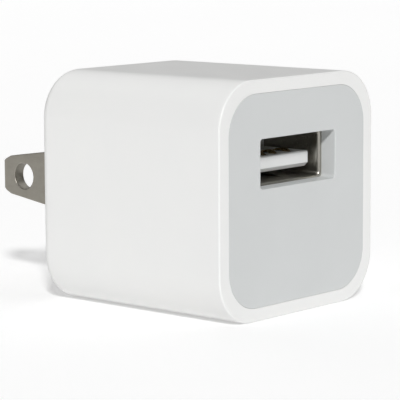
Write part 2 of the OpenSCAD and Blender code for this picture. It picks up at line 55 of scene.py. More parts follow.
MOUNTS = {m["name"]: Vector(m["pos_m"]) for m in RECORD["mounts"]}
SLOTS = {s["node"]: s["material_slot"] for s in RECORD["subparts"]}
BODY_OF = {n: b for b, nodes in RECORD["behaviour"]["bodies"].items() for n in nodes}

# ---- Outer shape: the box comes from the frame, the roundings are the design's own ----
BODY_LO, BODY_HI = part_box("housing")
BODY_W = BODY_HI.x - BODY_LO.x
BODY_H = BODY_HI.z - BODY_LO.z
MID_Z = BODY_H / 2
FRONT_Y, BACK_Y = BODY_LO.y, BODY_HI.y
CORNER_R = 5.5 * MM
FRONT_EDGE_R = 0.2 * MM
BACK_EDGE_R = 1.3 * MM
WALL = 1.9 * MM
INNER_Y = BACK_Y - 1.8 * MM
CAVITY = (BODY_W - 2 * WALL, BODY_H - 2 * WALL, CORNER_R - WALL)

PORT = MOUNTS["usb_port"]
SEAT_Y = PORT.y
PLATE = (24.3 * MM, 23.9 * MM, 4.6 * MM)
PLATE_GAP = 0.015 * MM
OPENING = (13.45 * MM, 5.6 * MM, 0.4 * MM)

SHELL_OUT = (13.1 * MM, 5.72 * MM, 0.75 * MM)
SHELL_T = 0.3 * MM
CONTACTS = [n for n in SLOTS if n.startswith("usb_contact_") and n != "usb_contact_tails"]
SPRINGS = {n: 1 if "upper" in n else -1 for n in SLOTS if n.startswith("shell_spring_")}

# ---- Inside ----
LOWER_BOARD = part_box("primary_board")
UPPER_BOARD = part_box("secondary_board")
LOWER_SOLDERED = ("left_blade_contact", "right_blade_contact", "fusible_resistor", "filter_inductor",
                  "bulk_capacitor_left", "bulk_capacitor_right", "switching_transistor", "optocoupler",
                  "y_capacitor", "transformer_pins")
UPPER_SOLDERED = ("secondary_leads", "output_capacitor_left", "output_capacitor_right", "optocoupler",
                  "y_capacitor", "usb_shell", "usb_contact_tails")
EDGE_ROUNDING = {"left_blade": 0.08, "right_blade": 0.08, "blade_holder": 0.15, "left_blade_contact": 0.06,
                 "right_blade_contact": 0.06, "primary_board": 0.04, "secondary_board": 0.04,
                 "transformer_core_lower": 0.12, "transformer_core_upper": 0.12, "transformer_bobbin": 0.1,
                 "usb_insulator": 0.08}

X, Y, Z = Vector((1, 0, 0)), Vector((0, 1, 0)), Vector((0, 0, 1))
CORNER_STEPS = 20
LEAD_R = 0.25 * MM
LEAD_PITCH = 1.27 * MM
WELD_GAP = 0.0005 * MM
MATERIALS = {}


# ---- Mesh helpers ----

def new_object(name, bm):
    """An object in the scene that holds the finished bmesh."""
    mesh = bpy.data.meshes.new(name)
    bmesh.ops.recalc_face_normals(bm, faces=bm.faces)
    bm.to_mesh(mesh)
    bm.free()
    obj = bpy.data.objects.new(name, mesh)
    bpy.context.scene.collection.objects.link(obj)
    return obj


def rounded_outline(size, inset, steps):
    """(across, up) pairs round a rounded rectangle. size is (width, height, corner radius)."""
    w, h, r = size[0] - 2 * inset, size[1] - 2 * inset, max(size[2] - inset, 1e-6)
    for sx, sy, start in ((1, 1, 0), (-1, 1, 90), (-1, -1, 180), (1, -1, 270)):
        for i in range(steps + 1):
            a = math.radians(start + 90 * i / steps)
            yield sx * (w / 2 - r) + r * math.cos(a), sy * (h / 2 - r) + r * math.sin(a)


def wall_loop(size, y, centre_z, inset=0.0, steps=CORNER_STEPS):
    """Points round a rounded rectangle that stands in the plane at y."""
    return [Vector((a, y, centre_z + b)) for a, b in rounded_outline(size, inset, steps)]


def flat_loop(size, centre, z, inset=0.0, steps=8):
    """Points round a rounded rectangle that lies at height z."""
    return [Vector((centre.x + a, centre.y + b, z)) for a, b in rounded_outline(size, inset, steps)]


def loft(loops, caps=True, bm=None):
    """A skin through loops of equal count, with its ends capped, or joined end to start as a ring."""
    bm = bm or bmesh.new()
    rings = [[bm.verts.new(p) for p in loop] for loop in loops]
    count = len(rings[0])
    pairs = list(zip(rings, rings[1:]))
    if caps:
        bm.faces.new(rings[0])
        bm.faces.new(rings[-1])
    else:
        pairs.append((rings[-1], rings[0]))
    for a, b in pairs:
        for i in range(count):
            j = (i + 1) % count
            bm.faces.new((a[i], a[j], b[j], b[i]))
    return bm


def turned(name, start, axis, profile, steps=48):
    """A solid turned round axis. profile lists (distance along it, radius) from end to end."""
    side = X if abs(axis.x) < 0.5 else Y
    other = axis.cross(side)
    loops = []
    for along, radius in profile:
        turns = [2 * math.pi * i / steps for i in range(steps)]
        loops.append([start + axis * along + radius * (math.cos(a) * side + math.sin(a) * other)
                      for a in turns])
    return new_object(name, loft(loops))


def rounded_path(points, reach, steps=6):
    """The path with its corners swept into curves that start and end at most reach away from them."""
    made = [points[0]]
    for before, corner, after in zip(points, points[1:], points[2:]):
        a, b = before - corner, after - corner
        near = min(reach, 0.49 * a.length, 0.49 * b.length)
        start, end = corner + a.normalized() * near, corner + b.normalized() * near
        for t in (i / steps for i in range(steps + 1)):
            made.append(start * (1 - t) ** 2 + corner * (2 * t * (1 - t)) + end * t ** 2)
    made.append(points[-1])
    return made


def sweep(name, path, section, side):
    """Carries a section of (along side, square to side) pairs along a path that stays square to side."""
    loops = []
    for i, point in enumerate(path):
        before, after = path[max(i - 1, 0)], path[min(i + 1, len(path) - 1)]
        ahead = (point - before).normalized() + (after - point).normalized()
        out = ahead.normalized().cross(side)
        loops.append([point + side * a + out * b for a, b in section])
    return new_object(name, loft(loops))


def strip(name, path, width, thickness, side=X):
    """A flat strip with its edges slightly rounded."""
    w, t, e = width / 2, thickness / 2, thickness * 0.18
    section = [(w - e, t), (w, t - e), (w, e - t), (w - e, -t), (e - w, -t), (-w, e - t), (-w, t - e),
               (e - w, t)]
    return sweep(name, path, section, side)


def wire(name, path, radius, steps=18):
    """A round wire along a path in a plane across X."""
    turns = [2 * math.pi * i / steps for i in range(steps)]
    return sweep(name, path, [(radius * math.cos(a), radius * math.sin(a)) for a in turns], X)


def edge_arc(radius, steps, start, end):
    """(outward, along) offsets of a quarter-round edge, from angle start to end, both in degrees."""
    for i in range(steps + 1):
        a = math.radians(start + (end - start) * i / steps)
        yield radius * (1 - math.cos(a)), radius * (1 - math.sin(a))


def box_object(name, lo, hi):
    """A plain block between two corners, to be cut out of a piece or joined to it."""
    bm = bmesh.new()
    bmesh.ops.create_cube(bm, size=1)
    size, mid = Vector(hi) - Vector(lo), (Vector(hi) + Vector(lo)) / 2
    bmesh.ops.transform(bm, matrix=Matrix.LocRotScale(mid, None, size), verts=bm.verts)
    return new_object(name, bm)


def carve(obj, operation, cutters):
    """Joins the cutters to obj, or cuts them out of it, and removes them."""
    for cutter in cutters:
        modifier = obj.modifiers.new(operation.lower(), "BOOLEAN")
        modifier.operation = operation
        modifier.solver = "EXACT"
        modifier.object = cutter
    settle(obj)
    for cutter in cutters:
        bpy.data.objects.remove(cutter)


def settle(obj):
    """Applies every modifier to the object's own mesh."""
    graph = bpy.context.evaluated_depsgraph_get()
    done = bpy.data.meshes.new_from_object(obj.evaluated_get(graph))
    obj.modifiers.clear()
    obj.data = done


def finish_edges(obj, width, segments=2, angle=30):
    """Rounds the sharp edges by a small radius and shades the rest smooth, with flat faces kept flat."""
    if width:
        bevel = obj.modifiers.new("bevel", "BEVEL")
        bevel.width = width
        bevel.segments = segments
        bevel.limit_method = "ANGLE"
        bevel.angle_limit = math.radians(angle)
        bevel.miter_outer = "MITER_ARC"
        bevel.use_clamp_overlap = True
        settle(obj)
    for face in obj.data.polygons:
        face.use_smooth = True
    obj.data.set_sharp_from_angle(angle=math.radians(50))
    normals = obj.modifiers.new("normals", "WEIGHTED_NORMAL")
    normals.keep_sharp = True
    normals.weight = 80
    settle(obj)


def place(obj, node, slot=None, edge=0.0):
    """Finishes a piece that stands for a CAD node: it rides on the node's body, in its slot or another."""
    finish_edges(obj, edge)
    slot = slot or SLOTS[node]
    obj.data.materials.clear()
    obj.data.materials.append(MATERIALS[slot])
    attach(obj, BODY_OF[node])
    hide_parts(node)


def soften(node, width):
    """A copy of a CAD node's shape with its facets merged and its sharp edges rounded."""
    bm = bmesh.new()
    bm.from_mesh(frame["nodes"][node].data)
    bmesh.ops.remove_doubles(bm, verts=bm.verts, dist=WELD_GAP)
    bmesh.ops.dissolve_limit(bm, angle_limit=math.radians(0.8), verts=bm.verts, edges=bm.edges)
    place(new_object(node + "_piece", bm), node, edge=width)


# ---- Material helpers ----

class Shader:
    """A Principled material whose colour, roughness and bump come from patterns fixed to the piece."""

    def __init__(self, name, roughness=0.5, metallic=0.0, **sockets):
        self.material = bpy.data.materials.new(name)
        self.material.use_nodes = True
        self.tree = self.material.node_tree
        self.bsdf = self.tree.nodes["Principled BSDF"]
        self.bsdf.inputs["Roughness"].default_value = roughness
        self.bsdf.inputs["Metallic"].default_value = metallic
        for socket, value in sockets.items():
            self.bsdf.inputs[socket.replace("_", " ")].default_value = value
        self.place = self.node("ShaderNodeTexCoord").outputs["Object"]
        self.height = None

    def node(self, kind, **values):
        """A new node of this kind, with the values set on it."""
        made = self.tree.nodes.new(kind)
        for key, value in values.items():
            setattr(made, key, value)
        return made

    def link(self, a, b):
        """Joins an output to an input."""
        self.tree.links.new(a, b)

    def stretched(self, scale):
        """The place on the piece, scaled along X, Y and Z to draw a pattern out."""
        mapping = self.node("ShaderNodeMapping")
        mapping.inputs["Scale"].default_value = scale
        self.link(self.place, mapping.inputs["Vector"])
        return mapping.outputs["Vector"]

    def noise(self, size, detail=4.0, roughness=0.55, stretch=(1, 1, 1), distortion=0.0):
        """Soft noise whose blobs are about size metres across."""
        made = self.node("ShaderNodeTexNoise")
        made.inputs["Scale"].default_value = 1 / size
        made.inputs["Detail"].default_value = detail
        made.inputs["Roughness"].default_value = roughness
        made.inputs["Distortion"].default_value = distortion
        self.link(self.stretched(stretch), made.inputs["Vector"])
        return made.outputs["Fac"]

    def spread(self, value, low, high, from_low=0.3, from_high=0.7):
        """Maps a pattern's middle band to low..high."""
        made = self.node("ShaderNodeMapRange")
        for socket, number in (("From Min", from_low), ("From Max", from_high),
                               ("To Min", low), ("To Max", high)):
            made.inputs[socket].default_value = number
        self.link(value, made.inputs["Value"])
        return made.outputs["Result"]

    def mix(self, factor, a, b):
        """Colour a where factor is 0 and b where it is 1. a or b may be another pattern's output."""
        made = self.node("ShaderNodeMix", data_type="RGBA")
        self.link(factor, made.inputs["Factor"])
        for socket, colour in ((made.inputs[6], a), (made.inputs[7], b)):
            if isinstance(colour, tuple):
                socket.default_value = (*colour, 1)
            else:
                self.link(colour, socket)
        return made.outputs[2]

    def edges(self, radius):
        """1 along sharp edges and 0 on flat ground."""
        bevel = self.node("ShaderNodeBevel")
        bevel.inputs["Radius"].default_value = radius
        facing = self.node("ShaderNodeVectorMath", operation="DOT_PRODUCT")
        self.link(bevel.outputs["Normal"], facing.inputs[0])
        self.link(self.node("ShaderNodeNewGeometry").outputs["Normal"], facing.inputs[1])
        return self.spread(facing.outputs["Value"], 1, 0, 0.8, 0.99)

    def colour(self, output):
        """Takes the base colour from a pattern."""
        self.link(output, self.bsdf.inputs["Base Color"])

    def rough(self, output):
        """Takes the roughness from a pattern."""
        self.link(output, self.bsdf.inputs["Roughness"])

    def bump(self, height, depth, strength=1.0):
        """Adds relief of about depth metres on top of any earlier one."""
        made = self.node("ShaderNodeBump")
        made.inputs["Distance"].default_value = depth
        made.inputs["Strength"].default_value = strength
        self.link(height, made.inputs["Height"])
        if self.height is not None:
            self.link(self.height, made.inputs["Normal"])
        self.height = made.outputs["Normal"]
        self.link(self.height, self.bsdf.inputs["Normal"])


def moulded_plastic(name, base, tint, roughness, grain, relief, **sockets):
    """Moulded plastic: base drifting to tint, a fine mould grain, and gloss that wanders a little."""
    shader = Shader(name, **sockets)
    shader.colour(shader.mix(shader.spread(shader.noise(9 * MM, 3), 0, 1), base, tint))
    shader.rough(shader.spread(shader.noise(2.5 * MM, 5), *roughness))
    shader.bump(shader.noise(grain, 3, 0.6), relief)
    shader.bump(shader.noise(14 * MM, 1), 0.03 * MM)
    return shader.material


def worn_metal(name, base, tint, roughness, stretch, relief, edge=None):
    """Plated or drawn metal: fine lines along one direction, blotches, and brighter edges."""
    shader = Shader(name, metallic=1.0)
    lines = shader.noise(0.12 * MM, 4, 0.6, stretch)
    blotches = shader.noise(1.6 * MM, 6, 0.6)
    body = shader.mix(shader.spread(blotches, 0, 1), base, tint)
    if edge:
        body = shader.mix(shader.edges(0.12 * MM), body, edge)
    shader.colour(body)
    shader.rough(shader.spread(lines, *roughness))
    shader.bump(lines, relief)
    return shader.material


def circuit_board():
    """Glossy solder mask over raised copper areas, with narrow bare lanes of laminate between them."""
    shader = Shader("solder_mask")
    lanes = shader.node("ShaderNodeTexBrick", offset=0.35, squash=0.7, squash_frequency=3)
    for socket, value in (("Scale", 1.0), ("Mortar Size", 0.16 * MM), ("Mortar Smooth", 0.3),
                          ("Brick Width", 4.6 * MM), ("Row Height", 2.3 * MM)):
        lanes.inputs[socket].default_value = value
    shader.link(shader.place, lanes.inputs["Vector"])
    mask = shader.mix(shader.spread(shader.noise(2 * MM, 4), 0, 1), (0.022, 0.15, 0.06), (0.032, 0.19, 0.08))
    shader.colour(shader.mix(lanes.outputs["Fac"], mask, (0.012, 0.075, 0.032)))
    shader.rough(shader.spread(shader.noise(0.8 * MM, 4), 0.2, 0.38))
    shader.bump(shader.spread(lanes.outputs["Fac"], 1, 0, 0, 1), 0.03 * MM)
    shader.bump(shader.noise(0.25 * MM, 3), 0.004 * MM)
    return shader.material


def make_materials():
    """One material per slot of the record."""
    m = {}
    m["housing_white"] = moulded_plastic(
        "white_polycarbonate", (0.832, 0.832, 0.82), (0.82, 0.822, 0.814), (0.34, 0.40), 0.22 * MM,
        0.0008 * MM, Specular_IOR_Level=0.38)
    m["plate_grey"] = moulded_plastic(
        "grey_polycarbonate", (0.622, 0.637, 0.636), (0.605, 0.62, 0.619), (0.42, 0.52), 0.12 * MM,
        0.004 * MM)
    m["blade_nickel"] = worn_metal(
        "nickel_plate", (0.375, 0.355, 0.31), (0.33, 0.31, 0.27), (0.34, 0.5), (1, 0.12, 1), 0.002 * MM,
        edge=(0.52, 0.5, 0.455))
    m["shell_nickel"] = worn_metal(
        "shell_steel", (0.43, 0.415, 0.375), (0.375, 0.36, 0.32), (0.26, 0.36), (1, 0.3, 1), 0.0004 * MM)
    m["contact_brass"] = worn_metal(
        "strip_brass", (0.78, 0.58, 0.27), (0.66, 0.46, 0.2), (0.25, 0.42), (1, 1, 0.12), 0.002 * MM)
    m["contact_gold"] = worn_metal(
        "gold_flash", (0.56, 0.44, 0.25), (0.46, 0.35, 0.19), (0.22, 0.36), (1, 0.15, 1), 0.001 * MM)
    m["tinned_pin"] = worn_metal(
        "tinned_wire", (0.7, 0.7, 0.69), (0.55, 0.55, 0.54), (0.25, 0.45), (1, 1, 0.2), 0.002 * MM)
    m["capacitor_can"] = worn_metal(
        "drawn_aluminium", (0.72, 0.73, 0.75), (0.62, 0.63, 0.66), (0.22, 0.38), (1, 0.12, 1), 0.001 * MM)
    m["copper_wire"] = worn_metal(
        "enamelled_copper", (0.62, 0.24, 0.09), (0.5, 0.17, 0.06), (0.25, 0.4), (1, 1, 8), 0.01 * MM)
    m["ferrite"] = moulded_plastic(
        "ground_ferrite", (0.05, 0.05, 0.055), (0.09, 0.09, 0.095), (0.45, 0.7), 0.15 * MM, 0.01 * MM)
    m["moulded_black"] = moulded_plastic(
        "glass_nylon", (0.022, 0.022, 0.024), (0.035, 0.035, 0.037), (0.42, 0.6), 0.2 * MM, 0.01 * MM)
    m["chip_black"] = moulded_plastic(
        "moulded_epoxy", (0.016, 0.016, 0.018), (0.03, 0.03, 0.032), (0.5, 0.68), 0.08 * MM, 0.006 * MM)
    m["board_green"] = circuit_board()
    m["resistor_blue"] = moulded_plastic(
        "blue_lacquer", (0.1, 0.27, 0.46), (0.14, 0.33, 0.52), (0.2, 0.35), 0.3 * MM, 0.01 * MM)
    m["inductor_green"] = moulded_plastic(
        "green_lacquer", (0.06, 0.22, 0.1), (0.09, 0.28, 0.13), (0.2, 0.35), 0.3 * MM, 0.01 * MM)
    m["capacitor_sleeve"] = moulded_plastic(
        "shrink_sleeve", (0.02, 0.03, 0.08), (0.03, 0.045, 0.12), (0.22, 0.36), 0.4 * MM, 0.01 * MM)
    m["opto_white"] = moulded_plastic(
        "white_epoxy", (0.72, 0.72, 0.68), (0.66, 0.66, 0.62), (0.4, 0.55), 0.1 * MM, 0.006 * MM)
    m["disc_blue"] = moulded_plastic(
        "dipped_ceramic", (0.04, 0.14, 0.42), (0.06, 0.2, 0.52), (0.2, 0.34), 0.5 * MM, 0.03 * MM)
    m["tape_yellow"] = moulded_plastic(
        "polyester_tape", (0.85, 0.6, 0.04), (0.78, 0.52, 0.03), (0.2, 0.34), 0.5 * MM, 0.01 * MM)
    m["wire_red"] = moulded_plastic(
        "red_insulation", (0.5, 0.02, 0.02), (0.6, 0.04, 0.03), (0.3, 0.45), 0.2 * MM, 0.01 * MM)
    m["sheet_film"] = moulded_plastic(
        "amber_film", (0.62, 0.5, 0.22), (0.55, 0.43, 0.17), (0.15, 0.3), 0.6 * MM, 0.01 * MM)
    m["tongue_white"] = moulded_plastic(
        "tongue_resin", (0.83, 0.84, 0.835), (0.78, 0.79, 0.785), (0.35, 0.5), 0.1 * MM, 0.004 * MM)
    return m


# ---- Outside: housing, face plate and blades ----

def housing_piece():
    """The cup: cavity, step for the plate, rim, rounded sides and the back wall, cut by the blade slots."""
    body = (BODY_W, BODY_H, CORNER_R)
    recess = (PLATE[0] + 2 * PLATE_GAP, PLATE[1] + 2 * PLATE_GAP, PLATE[2] + PLATE_GAP)
    lip = 0.02 * MM
    loops = [wall_loop(CAVITY, y, MID_Z) for y in (INNER_Y, (INNER_Y + SEAT_Y) / 2, SEAT_Y)]
    loops.append(wall_loop(recess, SEAT_Y, MID_Z))
    loops.append(wall_loop(recess, FRONT_Y + lip, MID_Z))
    loops.append(wall_loop(recess, FRONT_Y, MID_Z, -lip))
    for out, along in reversed(list(edge_arc(FRONT_EDGE_R, 5, 0, 90))):
        loops.append(wall_loop(body, FRONT_Y + along, MID_Z, out))
    for share in (0.02, 0.5, 0.98):
        y = FRONT_Y + FRONT_EDGE_R + share * (BACK_Y - FRONT_Y - FRONT_EDGE_R - BACK_EDGE_R)
        loops.append(wall_loop(body, y, MID_Z))
    for out, along in edge_arc(BACK_EDGE_R, 10, 0, 90):
        loops.append(wall_loop(body, BACK_Y - along, MID_Z, out))
    obj = new_object("housing_shell", loft(loops))
    carve(obj, "DIFFERENCE", blade_slots())
    carve(obj, "UNION", board_ribs())
    place(obj, "housing")


def blade_slots():
    """Cutters for the two slots in the back wall, a little wider than the blades."""
    gap = 0.03 * MM
    cutters = []
    for node in ("left_blade", "right_blade"):
        lo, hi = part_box(node)
        cutters.append(box_object("slot_" + node, (lo.x - gap, INNER_Y - MM, lo.z - gap),
                                  (hi.x + gap, BACK_Y + MM, hi.z + gap)))
    return cutters


def board_ribs():
    """Two rests under the lower board, and a pair of ribs above and below each edge of the upper one."""
    rib, gap, groove_w = 0.8 * MM, 0.05 * MM, 1.4 * MM
    core_lo, core_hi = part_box("transformer_core_upper")
    ribs = []
    for side in (-1, 1):
        x, wall_x = side * 7.6 * MM, side * (CAVITY[0] / 2 - 0.3 * MM)
        ribs.append(box_object("rest", (x - rib / 2, LOWER_BOARD[0].y, WALL - 0.2 * MM),
                               (x + rib / 2, INNER_Y + gap, LOWER_BOARD[0].z - gap)))
        top, under = UPPER_BOARD[1].z + gap, UPPER_BOARD[0].z - gap
        ribs.append(box_object("guide_above", (wall_x - groove_w / 2, UPPER_BOARD[0].y, top),
                               (wall_x + groove_w / 2, INNER_Y + gap, top + rib)))
        start_y = (core_lo.y + core_hi.y) / 2 - 3.9 * MM
        ribs.append(box_object("guide_below", (wall_x - groove_w / 2, start_y, under - rib),
                               (wall_x + groove_w / 2, INNER_Y + gap, under)))
    return ribs


def face_plate_piece():
    """The plate as one ring: front face, side, back with its lip, and the wall of the socket opening."""
    edge, mouth = 0.03 * MM, 0.1 * MM
    lip_l, lip_gap, lip_t = 0.8 * MM, 0.05 * MM, 0.9 * MM
    loops = [wall_loop(PLATE, FRONT_Y, MID_Z, edge), wall_loop(PLATE, FRONT_Y + edge, MID_Z),
             wall_loop(PLATE, SEAT_Y, MID_Z)]
    loops.append(wall_loop(CAVITY, SEAT_Y, MID_Z, lip_gap))
    loops.append(wall_loop(CAVITY, SEAT_Y + lip_l, MID_Z, lip_gap))
    loops.append(wall_loop(CAVITY, SEAT_Y + lip_l, MID_Z, lip_t))
    loops.append(wall_loop(CAVITY, SEAT_Y, MID_Z, lip_t))
    loops.append(wall_loop(OPENING, SEAT_Y, PORT.z))
    for out, along in edge_arc(mouth, 3, 0, 90):
        loops.append(wall_loop(OPENING, FRONT_Y + along, PORT.z, -out))
    obj = new_object("face_plate_cover", loft(loops, caps=False))
    place(obj, "face_plate")


# ---- USB socket ----

def mouth_curve():
    """(outward, inward) offsets along the shell's flared mouth, from its edge to the straight wall."""
    flare, depth, steps = 0.3 * MM, 0.5 * MM, 6
    turns = [math.radians(90 * i / steps) for i in range(steps + 1)]
    return [(flare * (1 - math.sin(a)), depth * (1 - math.cos(a))) for a in turns]


def usb_shell_piece():
    """The rolled shell: a tube with a flared mouth, four windows for its springs and two legs."""
    lo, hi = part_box("usb_shell")
    inner = (SHELL_OUT[0] - 2 * SHELL_T, SHELL_OUT[1] - 2 * SHELL_T, SHELL_OUT[2] - SHELL_T)
    loops = [wall_loop(inner, hi.y, PORT.z, steps=8), wall_loop(SHELL_OUT, hi.y, PORT.z, steps=8)]
    for flare, along in reversed(mouth_curve()):
        loops.append(wall_loop(SHELL_OUT, lo.y + along, PORT.z, -flare, steps=8))
    for flare, along in mouth_curve():
        loops.append(wall_loop(inner, lo.y + along, PORT.z, -flare, steps=8))
    obj = new_object("usb_socket_shell", loft(loops, caps=False))
    carve(obj, "DIFFERENCE", spring_windows())
    leg_mid, leg_l = SEAT_Y + 5.2 * MM, 1.6 * MM
    leg_x = (SHELL_OUT[0] - SHELL_T) / 2
    carve(obj, "UNION", [box_object("leg", (x - SHELL_T / 2, leg_mid - leg_l / 2, PORT.z),
                                    (x + SHELL_T / 2, leg_mid + leg_l / 2, hi.z)) for x in (-leg_x, leg_x)])
    place(obj, "usb_shell")


def spring_windows():
    """Cutters for the windows of the leaves, each through the upper and the lower wall."""
    gap = 0.2 * MM
    cutters = []
    for node in ("shell_spring_upper_left", "shell_spring_upper_right"):
        lo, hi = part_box(node)
        cutters.append(box_object("window", (lo.x - gap, lo.y - gap, PORT.z - SHELL_OUT[1]),
                                  (hi.x + gap, hi.y + gap, PORT.z + SHELL_OUT[1])))
    return cutters


def contact_pieces():
    """Four sprung contacts with a rounded bump, each on its own body."""
    shape = [(0, 0), (-3.6, 0.43), (-4.5, 0.77), (-5.1, 0.77), (-6, 0.2)]
    for node in CONTACTS:
        lo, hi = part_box(node)
        root = Vector(((lo.x + hi.x) / 2, hi.y, lo.z + 0.1 * MM))
        path = rounded_path([root + Vector((0, y, z)) * MM for y, z in shape], 0.45 * MM)
        place(strip(node + "_strip", path, 1.0 * MM, 0.2 * MM), node)


def spring_pieces():
    """Four leaves of the shell, each on its own body, sloping inwards and curling at the tip."""
    for node, face in SPRINGS.items():
        lo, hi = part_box(node)
        root_z = PORT.z + face * (SHELL_OUT[1] - SHELL_T) / 2
        root = Vector(((lo.x + hi.x) / 2, lo.y, root_z))
        shape = [(-0.25, 0), (1, -0.1), (3.4, -0.47), (4.2, -0.39)]
        path = rounded_path([root + Vector((0, y, face * z)) * MM for y, z in shape], 0.7 * MM)
        place(strip(node + "_leaf", path, 2.2 * MM, 0.25 * MM), node)


def contact_tail_pieces():
    """The fixed ends of the contacts, bent up through the board."""
    lo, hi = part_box("usb_contact_tails")
    z, y, gap = lo.z + 0.1 * MM, hi.y - 0.1 * MM, 0.04 * MM
    for node in CONTACTS:
        a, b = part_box(node)
        x = (a.x + b.x) / 2
        path = rounded_path([Vector((x, b.y + gap, z)), Vector((x, y, z)), Vector((x, y, hi.z))], 0.35 * MM)
        place(strip("tail_" + node, path, 1.0 * MM, 0.2 * MM), "usb_contact_tails")


# ---- Capacitors ----

def can_pieces(node, length, lead_x, up):
    """A lying can: sleeve with a rolled end and a crimp, scored top, rubber bung and two bent leads."""
    lo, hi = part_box(node)
    r = (hi.x - lo.x) / 2
    x = (hi.x + lo.x) / 2
    z = lo.z + r if up else hi.z - r
    start = Vector((x, lo.y, z))
    can = [(0.12 * MM, r - 0.55 * MM), (0, r - 0.45 * MM), (0, r - 0.25 * MM), (0.06 * MM, r - 0.1 * MM),
           (0.2 * MM, r)]
    crimp = [(1.75, 0), (1.62, 0.08), (1.5, 0.24), (1.15, 0.27), (0.8, 0.24), (0.68, 0.08), (0.55, 0)]
    can += [(length - a * MM, r - b * MM) for a, b in crimp]
    can += [(length - 0.2 * MM, r), (length - 0.05 * MM, r - 0.1 * MM), (length, r - 0.3 * MM),
            (length, r - 0.6 * MM)]
    place(turned(node + "_can", start, Y, can, 64), node)
    top = turned(node + "_top", start, Y, [(0.03 * MM, r - 0.75 * MM), (0.06 * MM, r - 0.6 * MM),
                                           (0.3 * MM, r - 0.58 * MM)], 64)
    carve(top, "DIFFERENCE", score_cutters(start, r))
    place(top, node, "capacitor_can")
    bung = turned(node + "_bung", start, Y, [(length - 0.5 * MM, r - 0.7 * MM),
                                             (length + 0.03 * MM, r - 0.7 * MM),
                                             (length + 0.06 * MM, r - 1.0 * MM)], 48)
    place(bung, node, "moulded_black")
    end_z = hi.z if up else lo.z
    for side in (-1, 1):
        a = start + Vector((side * lead_x, length, 0))
        b = a + Vector((0, 0.7 * MM, 0))
        path = rounded_path([a, b, Vector((b.x, b.y, end_z))], 0.45 * MM)
        place(wire("{}_lead_{}".format(node, "lr"[side > 0]), path, LEAD_R), node, "tinned_pin")


def score_cutters(start, radius):
    """Three lines that are scored into the end of a can, so that it vents there."""
    cutters = []
    for turn, depth in ((90, 0.05 * MM), (210, 0.06 * MM), (330, 0.07 * MM)):
        a = math.radians(turn)
        tip = Vector((math.cos(a), 0, math.sin(a))) * radius * 0.62
        mid = start + tip * 0.47
        bm = bmesh.new()
        bmesh.ops.create_cube(bm, size=1)
        size = Vector((tip.length * 1.06, 2 * (0.03 * MM + depth), 0.14 * MM))
        bmesh.ops.transform(bm, matrix=Matrix.LocRotScale(mid, Matrix.Rotation(-a, 3, "Y"), size),
                            verts=bm.verts)
        cutters.append(new_object("score", bm))
    return cutters


# ---- Axial parts ----

def axial_pieces(node, radius, waist, bands):
    """A dog-bone body with painted bands and two leads bent down into the board."""
    lo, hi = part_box(node)
    x, z = (lo.x + hi.x) / 2, hi.z - radius
    ends = (lo.y + 1.25 * MM, hi.y - 1.25 * MM)
    length = ends[1] - ends[0]
    start = Vector((x, ends[0], z))
    half = [(0, 0.45), (0.03, 0.8), (0.15, 0.94), (0.35, 1), (1.05, 1), (1.35, 0.97)]
    rise = [(a * MM, radius * b) for a, b in half] + [(1.75 * MM, waist), (length / 2, waist)]
    body = rise + [(length - a, b) for a, b in reversed(rise[:-1])]
    place(turned(node + "_body", start, Y, body, 48), node)
    for at, slot in bands:
        band = [(at * MM, waist * 0.97), (at * MM, waist + 0.02 * MM), ((at + 0.45) * MM, waist + 0.02 * MM),
                ((at + 0.45) * MM, waist * 0.97)]
        place(turned("{}_band_{}".format(node, round(at * 10)), start, Y, band, 48), node, slot)
    for side, y in ((-1, ends[0]), (1, ends[1])):
        a = Vector((x, y - side * 0.2 * MM, z))
        b = Vector((x, y + side * 1.0 * MM, z))
        path = rounded_path([a, b, Vector((x, b.y, lo.z))], 0.7 * MM)
        place(wire("{}_lead_{}".format(node, "fb"[side > 0]), path, LEAD_R), node, "tinned_pin")


# ---- Moulded packages ----

def moulded_body(name, lo, hi, radius=0.12 * MM, draft=0.1 * MM):
    """A moulded package, widest at its parting line and softly rounded at its edges."""
    mid = (lo + hi) / 2
    size = (hi.x - lo.x, hi.y - lo.y, radius * 2)
    edge = min(radius, (hi.z - lo.z) * 0.15)
    levels = [(lo.z, draft + edge), (lo.z + edge * 0.35, draft + edge * 0.3), (lo.z + edge, draft * 0.9),
              (mid.z, 0), (hi.z - edge, draft * 0.9), (hi.z - edge * 0.35, draft + edge * 0.3),
              (hi.z, draft + edge)]
    return new_object(name, loft([flat_loop(size, mid, z, inset, 5) for z, inset in levels]))


def gull_wing(name, start, out, foot_z, width, reach):
    """A flat lead that leaves a package sideways, bends down and stands on the board."""
    t = 0.15 * MM
    drop = Vector((0, 0, foot_z + t / 2 - start.z))
    path = [start - out * 0.2 * MM, start + out * 0.35 * reach, start + out * 0.5 * reach + drop,
            start + out * reach + drop]
    return strip(name, rounded_path(path, 0.12 * MM), width, t, side=Vector((abs(out.y), abs(out.x), 0)))


def end_lead_pieces(node, lead_w, lead_xs):
    """A flat package with leads at both ends along Y."""
    lo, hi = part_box(node)
    out = 0.7 * MM
    body_lo = Vector((lo.x, lo.y + out, lo.z + 0.1 * MM))
    body_hi = Vector((hi.x, hi.y - out, hi.z))
    place(moulded_body(node + "_body", body_lo, body_hi), node)
    mid = (body_lo + body_hi) / 2
    for i, x in enumerate(lead_xs):
        for side, y in ((-1, body_lo.y), (1, body_hi.y)):
            start = Vector((mid.x + x * MM, y, mid.z))
            lead = gull_wing("{}_lead_{}{}".format(node, i, "fb"[side > 0]), start,
                             Vector((0, side, 0)), lo.z, lead_w * MM, out)
            place(lead, node, "tinned_pin")


